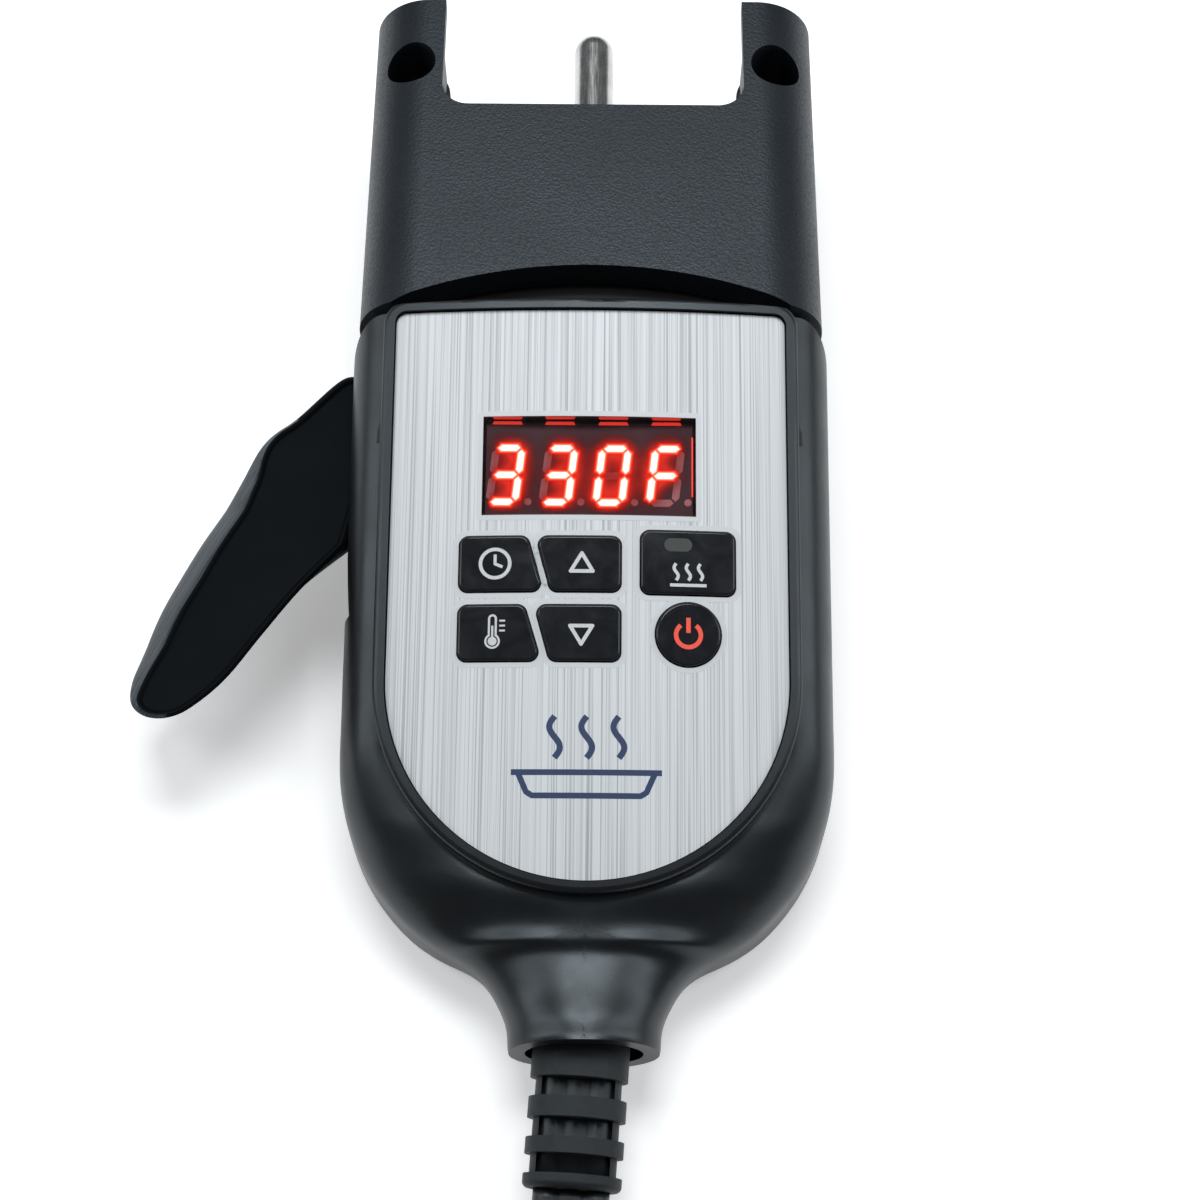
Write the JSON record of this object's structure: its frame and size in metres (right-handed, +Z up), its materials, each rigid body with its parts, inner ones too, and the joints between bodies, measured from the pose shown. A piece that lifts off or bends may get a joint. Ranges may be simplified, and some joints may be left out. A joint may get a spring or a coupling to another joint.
{
  "type": "detachable griddle heat controller",
  "caption": "Detachable digital heat controller with a sloping keypad face, release lever, temperature probe, strain relief, cord and the guard that it docks in.",
  "frame": {"origin": "middle of the housing's flat underside", "axes": "+Y along the temperature probe, towards the griddle; +Z up, out of the keypad side; +X to the right seen from the cord"},
  "size_m": [0.1379, 0.3674, 0.0379],
  "materials": {
    "housing": "fine-grained satin black",
    "guard": "leathery textured black",
    "lever": "satin black",
    "faceplate": "brushed, satin",
    "adhesive": "tape",
    "window": "smoked red, polished",
    "module": "matt dark grey",
    "tin": "tinned",
    "keys": "gloss black",
    "indicator": "translucent grey-green",
    "switches": "satin",
    "board": "solder mask green",
    "screws": "zinc plated",
    "chip": "satin",
    "relay": "satin blue",
    "capacitor": "sleeved",
    "film": "dipped yellow",
    "fuse_body": "satin",
    "blocks": "satin green",
    "carrier": "heat-resistant phenolic, matt",
    "contacts": "satin",
    "probe": "stainless, polished",
    "brass_parts": "satin",
    "bead": "glass bead",
    "lead_insulation": "PTFE",
    "spring": "spring steel",
    "plunger": "acetal, satin",
    "relief": "matt",
    "cord": "satin black jacket",
    "clamp": "satin",
    "tie": "satin",
    "plug": "moulded, satin",
    "live_wire": "satin",
    "neutral_wire": "satin",
    "earth_wire": "satin"
  },
  "bodies": {
    "controller": {"board_screws": "screws", "contact_carrier": "carrier", "control_board": "board", "controller_chip": "chip", "cord_clamp": "clamp", "cord_coil": "cord", "cord_tail": "cord", "cord_tie": "tie", "display_module": "module", "display_pins": "tin", "display_window": "window", "earth_clip": "brass_parts", "earth_lead": "earth_wire", "faceplate": "faceplate", "faceplate_adhesive": "adhesive", "film_capacitor": "film", "fuse": "fuse_body", "held_cord": "cord", "housing_screws": "screws", "key_switches": "switches", "lead_terminals": "tin", "lever_pin": "probe", "lever_spring": "spring", "live_contact": "contacts", "live_lead": "live_wire", "load_lead": "live_wire", "lower_housing": "housing", "neutral_contact": "contacts", "neutral_lead": "neutral_wire", "plug_blades": "brass_parts", "plug_body": "plug", "plug_earth_pin": "brass_parts", "power_board": "board", "probe_collar": "brass_parts", "probe_leads": "lead_insulation", "probe_thermistor": "bead", "probe_tube": "probe", "relay": "relay", "strain_relief": "relief", "supply_capacitor": "capacitor", "supply_cord": "cord", "terminal_blocks": "blocks", "upper_housing": "housing"},
    "guard": {"socket_guard": "guard"},
    "lever": {"release_lever": "lever"},
    "ejector": {"ejector_plunger": "plunger"},
    "time_key": {"time_key": "keys"},
    "temp_key": {"temp_key": "keys"},
    "up_key": {"up_key": "keys"},
    "down_key": {"down_key": "keys"},
    "warm_key": {"warm_key": "keys", "warm_indicator": "indicator"},
    "power_key": {"power_key": "keys"}
  },
  "joints": [
    {"name": "docking_slide", "type": "slide", "parent": "controller", "child": "guard", "axis": [0, 1, 0], "range_m": [0, 0.068]},
    {"name": "lever_squeeze", "type": "hinge", "parent": "controller", "child": "lever", "pos_m": [-0.028, 0.034, 0.014], "axis": [0, 0, 1], "range_deg": [0, 13], "stiffness_Nm_per_rad": 1.2, "springref_deg": -8.59},
    {"name": "ejector_push", "type": "slide", "parent": "controller", "child": "ejector", "axis": [0, 1, 0], "range_m": [0, 0.0029]},
    {"name": "time_key_press", "type": "slide", "parent": "controller", "child": "time_key", "axis": [0, 0.2079, -0.9781], "range_m": [0, 0.0004], "stiffness_N_per_m": 2500, "springref_m": -0.0002},
    {"name": "temp_key_press", "type": "slide", "parent": "controller", "child": "temp_key", "axis": [0, 0.2079, -0.9781], "range_m": [0, 0.0004], "stiffness_N_per_m": 2500, "springref_m": -0.0002},
    {"name": "up_key_press", "type": "slide", "parent": "controller", "child": "up_key", "axis": [0, 0.2079, -0.9781], "range_m": [0, 0.0004], "stiffness_N_per_m": 2500, "springref_m": -0.0002},
    {"name": "down_key_press", "type": "slide", "parent": "controller", "child": "down_key", "axis": [0, 0.2079, -0.9781], "range_m": [0, 0.0004], "stiffness_N_per_m": 2500, "springref_m": -0.0002},
    {"name": "warm_key_press", "type": "slide", "parent": "controller", "child": "warm_key", "axis": [0, 0.2079, -0.9781], "range_m": [0, 0.0004], "stiffness_N_per_m": 2500, "springref_m": -0.0002},
    {"name": "power_key_press", "type": "slide", "parent": "controller", "child": "power_key", "axis": [0, 0.2079, -0.9781], "range_m": [0, 0.0004], "stiffness_N_per_m": 2500, "springref_m": -0.0002}
  ],
  "couplings": [
    {"joint": "ejector_push", "follows": "lever_squeeze", "m_per_rad": 0.0125}
  ]
}
